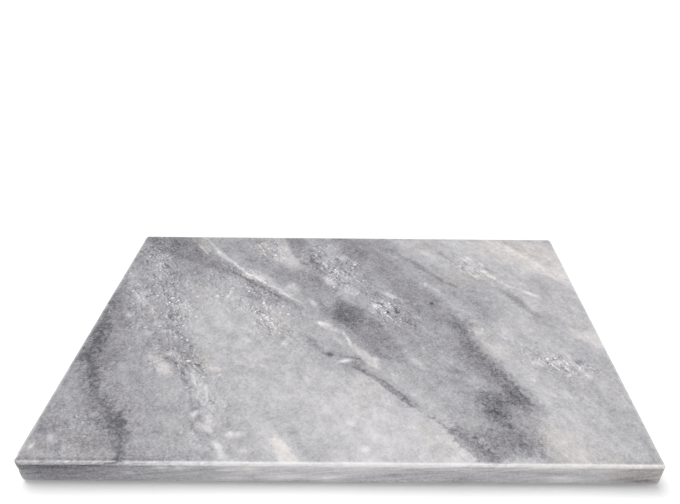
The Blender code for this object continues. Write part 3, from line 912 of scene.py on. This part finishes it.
# A lone crystal's radius is its cell's chance times the spread, plus the least.
LONE_SPREAD, LONE_LEAST = 0.72, -0.30
LONE_EDGE, LONE_RIM = (0.0, 0.2), (-0.18, -0.05)
clusters = add(tree, "MapRange", {
    "Value": stretched_noise(40, 22, 2, shift=50.0), "From Min": 0.38, "From Max": 0.62,
    "To Min": 0.5, "To Max": 1.3,
})
unrest = add(tree, "Math", {0: clusters, 1: fields["unrest"]}, operation="MULTIPLY")
for long, wide, light, lee_shade in ((14, 7, 16, -9), (4.6, 3.2, 20, -11)):
    tone = shade(stretched_noise(long, wide, 3, distortion=0.3), *FLECK_EDGE, light, unrest)
    # Each fleck's lee side is a painted shade: the same fleck pattern, shifted a little and darkened.
    tone = shade(stretched_noise(long, wide, 3, shift=-1.2, distortion=0.3), *FLECK_EDGE, lee_shade, unrest)
tone = shade(stretched_noise(8, 4.5, 3, shift=90.0, distortion=0.4), *SPECK_EDGE, -20, unrest)
for size, light, rim in ((6.0, 48, -12), (3.4, 44, -12)):
    cells = add(tree, "TexVoronoi", {"Vector": plan, "Scale": 1 / size}).node
    chance = add(tree, "SeparateXYZ", {0: cells.outputs["Color"]})
    lone = add(tree, "Math", {0: chance, 1: LONE_SPREAD, 2: LONE_LEAST}, operation="MULTIPLY_ADD")
    lone = add(tree, "Math", {0: lone, 1: cells.outputs["Distance"]}, operation="SUBTRACT")
    tone = shade(lone, *LONE_RIM, rim, unrest)
    tone = shade(lone, *LONE_EDGE, light, unrest)
for long, wide, shift, change in ((90, 16, 20.0, -10), (130, 22, 70.0, 8)):
    line = add(tree, "Math", {0: stretched_noise(long, wide, 2, shift), 1: 0.5}, operation="SUBTRACT")
    line = add(tree, "Math", {0: line}, operation="ABSOLUTE")
    tone = shade(line, *HAIRLINE_EDGE, change, unrest)
print("Nodes with the flecks, crystals and hairlines:", len(tree.nodes))

# %% [markdown]
# Finest of all is the grain, which shows most in the dark bands, where
# graphite lies between white crystals. Real grains of such marble measure
# about half a millimetre, which is finer than the picture shows, so they are
# drawn three times as coarse.

# %% Grain
GRAIN_SIZE, GRAIN_CHANGE = 1.5, 14.0
CRYSTAL_SIZE, CRYSTAL_CHANGE = 1.8, 6.0
pale = add(tree, "MapRange", {
    "Value": tone, "From Min": 95.0, "From Max": 150.0, "To Min": 0.45, "To Max": 1.0,
})
coarseness = add(tree, "MapRange", {
    "Value": tone, "From Min": 218.0, "From Max": 112.0, "To Min": 0.35, "To Max": 1.9,
})
grain = add(tree, "TexNoise", {
    "Vector": place, "Scale": 1 / GRAIN_SIZE, "Detail": 1.0, "Roughness": 0.6,
})
grain = add(tree, "MapRange", {
    "Value": grain, "From Min": 0.25, "From Max": 0.75, "To Min": -GRAIN_CHANGE, "To Max": GRAIN_CHANGE,
})
tone = add(tree, "Math", {0: grain, 1: coarseness, 2: tone}, operation="MULTIPLY_ADD")
crystals = add(tree, "TexVoronoi", {"Vector": place, "Scale": 1 / CRYSTAL_SIZE})
crystals = add(tree, "SeparateXYZ", {0: crystals.node.outputs["Color"]})
crystals = add(tree, "MapRange", {
    "Value": crystals, "To Min": -CRYSTAL_CHANGE, "To Max": CRYSTAL_CHANGE,
})
tone = add(tree, "Math", {0: crystals, 1: coarseness, 2: tone}, operation="MULTIPLY_ADD")
print("Nodes with the grain:", len(tree.nodes))

# %% [markdown]
# The rubbed arrises look almost white: rubbing bruises the crystals, and the
# bruised ones scatter the light. A freshly broken grain sparkles the same way.
# The arrises' whiteness is also a painted highlight where they catch the light,
# so it is strongest on the top front arris.

# %% Rubbed edges and broken grains
BRUISE_AND_HIGHLIGHT_SIZE = 5.0
BRUISED_AND_HIGHLIT_TONE = 250.0
BROKEN_BRUISE = 0.25
rubbed_and_highlit = tree.nodes.new("ShaderNodeAttribute")
rubbed_and_highlit.attribute_name = "rubbed_and_highlit"
broken = tree.nodes.new("ShaderNodeAttribute")
broken.attribute_name = "broken"
bruise_and_highlight = add(tree, "TexNoise", {
    "Vector": place, "Scale": 1 / BRUISE_AND_HIGHLIGHT_SIZE, "Detail": 3.0, "Roughness": 0.6,
})
bruise_and_highlight = add(tree, "MapRange", {
    "Value": bruise_and_highlight, "From Min": 0.3, "From Max": 0.7, "To Min": 0.5, "To Max": 1.0,
})
bruise_and_highlight = add(tree, "Math", {0: bruise_and_highlight, 1: pale}, operation="MULTIPLY")
bruise_and_highlight = add(tree, "Math", {0: bruise_and_highlight, 1: rubbed_and_highlit.outputs["Fac"]}, operation="MULTIPLY")
bruise_and_highlight = add(tree, "Math", {
    0: broken.outputs["Fac"], 1: BROKEN_BRUISE, 2: bruise_and_highlight,
}, operation="MULTIPLY_ADD")
# The arrises are mixed towards a near-white tone: bruised crystals, and a painted highlight where they catch
# the light.
tone = add(tree, "Mix", {"Factor": bruise_and_highlight, "A": tone, "B": BRUISED_AND_HIGHLIT_TONE})
print("Marble nodes:", len(tree.nodes))

# %% [markdown]
# A colour ramp turns the tone into a colour, and there are two of them: the
# blue-grey of graphite and the cream of iron. Each stop's level is a tone, and
# its colour comes out as that tone in this light. Warmth mixes the two.

# %% Colours
WARMTH_DRIFT = 1.6
tone = add(tree, "Math", {0: tone, 1: 255.0}, operation="DIVIDE")
RAMPS = {
    "blue grey": (
        (75, "#27272d"), (95, "#383840"), (115, "#59595f"), (135, "#757379"), (155, "#8e8c91"),
        (175, "#a5a4a8"), (188, "#b3b2b5"), (200, "#c1bfc2"), (215, "#d1cfd1"), (232, "#e4e2e3"),
        (250, "#f4f2f3"),
    ),
    "cream": (
        (75, "#292726"), (95, "#3b3837"), (115, "#5c5958"), (135, "#777372"), (155, "#908c8a"),
        (175, "#a7a3a0"), (188, "#b6b1af"), (200, "#c4bebc"), (215, "#d6cfcc"), (232, "#e8e2df"),
        (250, "#f6f2f0"),
    ),
}
colours = []
for levels in RAMPS.values():
    ramp = add(tree, "ValToRGB", {"Fac": tone})
    stops = ramp.node.color_ramp.elements
    for level, hex_colour in levels:
        stops.new(level / 255).color = linear(hex_colour)
    stops.remove(stops[0])
    stops.remove(stops[-1])
    colours.append(ramp)
drift = stretched_noise(60, 25, 2, shift=130.0)
warmth = add(tree, "Math", {
    0: drift, 1: WARMTH_DRIFT, 2: -WARMTH_DRIFT / 2,
}, operation="MULTIPLY_ADD")
warmth = add(tree, "Math", {0: fields["warmth"], 1: warmth}, operation="ADD", use_clamp=True)
colour = add(tree, "Mix", {
    "Factor": warmth, 6: colours[0], 7: colours[1],
}, data_type="RGBA").node.outputs[2]
tree.links.new(colour, shader.inputs["Base Color"])
print("Colour stops:", sum(len(levels) for levels in RAMPS.values()))

# %% [markdown]
# Honing stops before the stone shines, so it stays satin, a little rougher
# between the crystals and much rougher where a grain broke out. Calcite bends
# light by two amounts, 1.49 and 1.66, and a value near their middle does for
# both. Honing also leaves a grain that a fingertip can feel, and pinholes
# where a soft speck came away. The largest are a millimetre across and a
# quarter of one deep, and half of the cells have none.

# %% Sheen and surface
CALCITE_IOR = 1.56
SATIN = 0.44
TEXTURE_SIZE, TEXTURE_HEIGHT = 1.1, 0.03
PINHOLE_SPACING, PINHOLE_STEEPNESS = 10.0, 4.0
PINHOLE_SPREAD, PINHOLE_LEAST = 0.12, -0.06
shader.inputs["IOR"].default_value = CALCITE_IOR
satin = SATIN
for field, change in ((grain, 0.004), (rubbed_and_highlit.outputs["Fac"], 0.08), (broken.outputs["Fac"], 0.18)):
    satin = add(tree, "Math", {0: field, 1: change, 2: satin}, operation="MULTIPLY_ADD")
tree.links.new(satin, shader.inputs["Roughness"])
texture = add(tree, "TexNoise", {
    "Vector": place, "Scale": 1 / TEXTURE_SIZE, "Detail": 2.0, "Roughness": 0.6,
})
holes = add(tree, "TexVoronoi", {"Vector": place, "Scale": 1 / PINHOLE_SPACING}).node
hole_size = add(tree, "SeparateXYZ", {0: holes.outputs["Color"]})
hole = add(tree, "Math", {
    0: hole_size, 1: PINHOLE_SPREAD, 2: PINHOLE_LEAST,
}, operation="MULTIPLY_ADD")
hole = add(tree, "Math", {0: hole, 1: holes.outputs["Distance"]}, operation="SUBTRACT")
hole = add(tree, "Math", {0: hole, 1: 0.0}, operation="MAXIMUM")
surface = add(tree, "Math", {0: hole, 1: -PINHOLE_STEEPNESS}, operation="MULTIPLY")
surface = add(tree, "Math", {0: texture, 1: TEXTURE_HEIGHT, 2: surface}, operation="MULTIPLY_ADD")
surface = add(tree, "Bump", {"Height": surface, "Strength": 1.0, "Distance": MM})
tree.links.new(surface, shader.inputs["Normal"])
slab = add_piece("veined_slab", slab_mesh, marble, "honed_marble", "marble_slab")
print("Placed", slab.name, "with", len(tree.nodes), "nodes in its material")

# %% [markdown]
# ## Feet
#
# The feet are moulded silicone bumpers, sold on a sheet with the adhesive
# already on their backs. They are spun from their section: a soft shoulder, a
# tapering side with a fine mould line, a rounded sole edge and a shallow dish
# in the sole, which grips like a sucker on a smooth worktop.

# %% Section of a foot
FOOT_SECTION = (
    (0.0, 1.80), (3.0, 1.80), (6.10, 1.80), (6.36, 1.74), (6.47, 1.60), (6.40, 1.36), (6.28, 1.20),
    (6.24, 1.15), (6.16, 1.10), (5.98, 0.88), (5.74, 0.62), (5.50, 0.36), (5.34, 0.17), (5.12, 0.05),
    (4.84, 0.0), (4.50, 0.0), (4.26, 0.05), (4.05, 0.16), (3.70, 0.24), (2.40, 0.28), (1.00, 0.29),
    (0.60, 0.22), (0.0, 0.20),
)
FOOT_STEPS = 48
MERGE_REACH = 0.001


def build_foot_mesh(node):
    """A moulded foot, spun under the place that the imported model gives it."""
    low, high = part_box(node)
    shape = bmesh.new()
    chain = [shape.verts.new((radius * MM, 0.0, height * MM)) for radius, height in FOOT_SECTION]
    edges = [shape.edges.new(pair) for pair in zip(chain, chain[1:])]
    bmesh.ops.spin(
        shape, geom=[*chain, *edges], cent=(0, 0, 0), axis=(0, 0, 1), dvec=(0, 0, 0),
        angle=math.tau, steps=FOOT_STEPS, use_merge=True, use_normal_flip=False, use_duplicate=False,
    )
    bmesh.ops.remove_doubles(shape, verts=shape.verts, dist=MERGE_REACH * MM)
    bmesh.ops.recalc_face_normals(shape, faces=shape.faces)
    middle = (low + high) / 2
    bmesh.ops.translate(shape, verts=shape.verts, vec=(middle.x, middle.y, low.z))
    mesh = bpy.data.meshes.new("moulded_foot")
    shape.to_mesh(mesh)
    shape.free()
    mesh.shade_smooth()
    return mesh


print("Feet, in steps round:", FOOT_STEPS, "and points in the section:", len(FOOT_SECTION))

# %% [markdown]
# Milky silicone scatters a little light inside it. Its surface keeps the fine
# spark-eroded texture of the mould, and dust settles on it in cloudy patches.

# %% Silicone of the feet
DUST_SIZE = 2.5
SPARK_SIZE, SPARK_HEIGHT = 0.09, 0.01
rubber, tree, shader = new_material("milky_silicone")
shader.inputs["IOR"].default_value = 1.41
shader.inputs["Subsurface Weight"].default_value = 0.25
shader.inputs["Subsurface Radius"].default_value = (1.0, 1.0, 1.0)
shader.inputs["Subsurface Scale"].default_value = 0.8 * MM
place = millimetres(tree)
dust = add(tree, "TexNoise", {"Vector": place, "Scale": 1 / DUST_SIZE, "Detail": 4.0, "Roughness": 0.6})
dust = add(tree, "MapRange", {"Value": dust, "From Min": 0.42, "From Max": 0.68})
colour = add(tree, "Mix", {
    "Factor": dust, 6: linear("#c9c9c5"), 7: linear("#b3b1ab"),
}, data_type="RGBA").node.outputs[2]
tree.links.new(colour, shader.inputs["Base Color"])
sheen = add(tree, "MapRange", {"Value": dust, "To Min": 0.46, "To Max": 0.72})
tree.links.new(sheen, shader.inputs["Roughness"])
texture = add(tree, "TexNoise", {"Vector": place, "Scale": 1 / SPARK_SIZE, "Detail": 2.0})
relief = add(tree, "Bump", {"Height": texture, "Strength": 0.5, "Distance": SPARK_HEIGHT * MM})
tree.links.new(relief, shader.inputs["Normal"])
for corner in ("front_left", "front_right", "back_left", "back_right"):
    node = "foot_" + corner
    add_piece("silicone_" + node, build_foot_mesh(node), rubber, "foot_rubber", node)
print("Nodes in the silicone:", len(tree.nodes))

# %% [markdown]
# Each foot is held by a disc of double-sided tape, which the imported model
# already has in its right shape. It is a tissue of short fibres soaked in
# clear acrylic glue, so it is a little streaky, and glossy where it shows.

# %% Tape of the adhesive discs
FIBRE_SIZE, FIBRE_HEIGHT = 0.8, 0.02
FIBRE_STRETCH = (1.0, 4.0, 2.0)
tape, tree, shader = new_material("acrylic_tape")
shader.inputs["IOR"].default_value = 1.47
place = millimetres(tree)
fibre_place = add(tree, "VectorMath", {0: place, 1: FIBRE_STRETCH}, operation="MULTIPLY")
fibres = add(tree, "TexNoise", {
    "Vector": fibre_place, "Scale": 1 / FIBRE_SIZE, "Detail": 4.0, "Distortion": 1.5,
})
fibres = add(tree, "MapRange", {"Value": fibres, "From Min": 0.4, "From Max": 0.62})
colour = add(tree, "Mix", {
    "Factor": fibres, 6: linear("#d9d3c2"), 7: linear("#efece2"),
}, data_type="RGBA").node.outputs[2]
tree.links.new(colour, shader.inputs["Base Color"])
sheen = add(tree, "MapRange", {"Value": fibres, "To Min": 0.28, "To Max": 0.50})
tree.links.new(sheen, shader.inputs["Roughness"])
relief = add(tree, "Bump", {"Height": fibres, "Strength": 0.4, "Distance": FIBRE_HEIGHT * MM})
tree.links.new(relief, shader.inputs["Normal"])
for corner in ("front_left", "front_right", "back_left", "back_right"):
    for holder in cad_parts["adhesive_disc_" + corner].material_slots:
        holder.material = tape
print("Tape discs:", [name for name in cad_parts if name.startswith("adhesive")])

# %% [markdown]
# ## Floor and light
#
# The board lies on a white table in a white room. A dome of soft light, which
# is stronger in front, and one broad lamp, high and a little behind the board,
# throw a short soft shadow forwards.

# %% Floor
FLOOR_HALF = 4.0
FLOOR_GLOW = 0.10


def build_floor():
    """A plain white floor at the height of the feet's soles."""
    shape = bmesh.new()
    bmesh.ops.create_grid(shape, x_segments=1, y_segments=1, size=FLOOR_HALF)
    mesh = bpy.data.meshes.new("floor")
    shape.to_mesh(mesh)
    shape.free()
    floor = bpy.data.objects.new("floor", mesh)
    scene.collection.objects.link(floor)
    material, tree, shader = new_material("white_table")
    shader.inputs["Base Color"].default_value = linear("#ffffff")
    shader.inputs["Roughness"].default_value = 1.0
    shader.inputs["Specular IOR Level"].default_value = 0.0
    path = tree.nodes.new("ShaderNodeLightPath").outputs
    glow = add(tree, "Math", {0: path["Is Camera Ray"], 1: FLOOR_GLOW}, operation="MULTIPLY")
    shader.inputs["Emission Color"].default_value = linear("#ffffff")
    tree.links.new(glow, shader.inputs["Emission Strength"])
    mesh.materials.append(material)


build_floor()
print("Floor, in metres across:", 2 * FLOOR_HALF)

# %% Dome of soft light
DOME_FRONT = 0.70
DOME_BACK = 0.25


def build_dome():
    """A white room that lights the board more from the front than from the back."""
    world = bpy.data.worlds.new("white_room")
    scene.world = world
    world.use_nodes = True
    tree = world.node_tree
    tree.nodes.clear()
    direction = tree.nodes.new("ShaderNodeTexCoord").outputs["Generated"]
    depth = add(tree, "SeparateXYZ", {0: direction}).node.outputs["Y"]
    strength = add(tree, "MapRange", {
        "Value": depth, "From Min": -1.0, "From Max": 1.0,
        "To Min": DOME_FRONT, "To Max": DOME_BACK,
    })
    path = tree.nodes.new("ShaderNodeLightPath").outputs
    seen = add(tree, "Math", {0: path["Is Camera Ray"], 1: path["Is Glossy Ray"]},
               operation="MAXIMUM")
    seen = add(tree, "Math", {0: seen, 1: path["Is Transmission Ray"]}, operation="MAXIMUM")
    strength = add(tree, "Mix", {"Factor": seen, "A": strength, "B": 1.0})
    background = add(tree, "Background", {"Color": linear("#ffffff"), "Strength": strength})
    output = tree.nodes.new("ShaderNodeOutputWorld")
    tree.links.new(background, output.inputs["Surface"])


build_dome()
print("Dome, front and back:", DOME_FRONT, DOME_BACK)

# %% Broad lamp
SUN_STRENGTH = 1.75
SUN_SPREAD = math.radians(36)
SUN_DIRECTION = Vector((-0.24, 0.24, 1.0))


def build_lamp():
    """One broad lamp, high and a little behind the board to its left."""
    lamp = bpy.data.lights.new("broad_lamp", "SUN")
    lamp.energy = SUN_STRENGTH
    lamp.angle = SUN_SPREAD
    holder = bpy.data.objects.new("broad_lamp", lamp)
    holder.rotation_euler = SUN_DIRECTION.to_track_quat("Z", "Y").to_euler()
    scene.collection.objects.link(holder)


build_lamp()
print("Lamp, in degrees across:", round(math.degrees(SUN_SPREAD)))

# %% [markdown]
# Colours are shown as they are, with no film look.

# %% Finish
scene.view_settings.view_transform = "Standard"
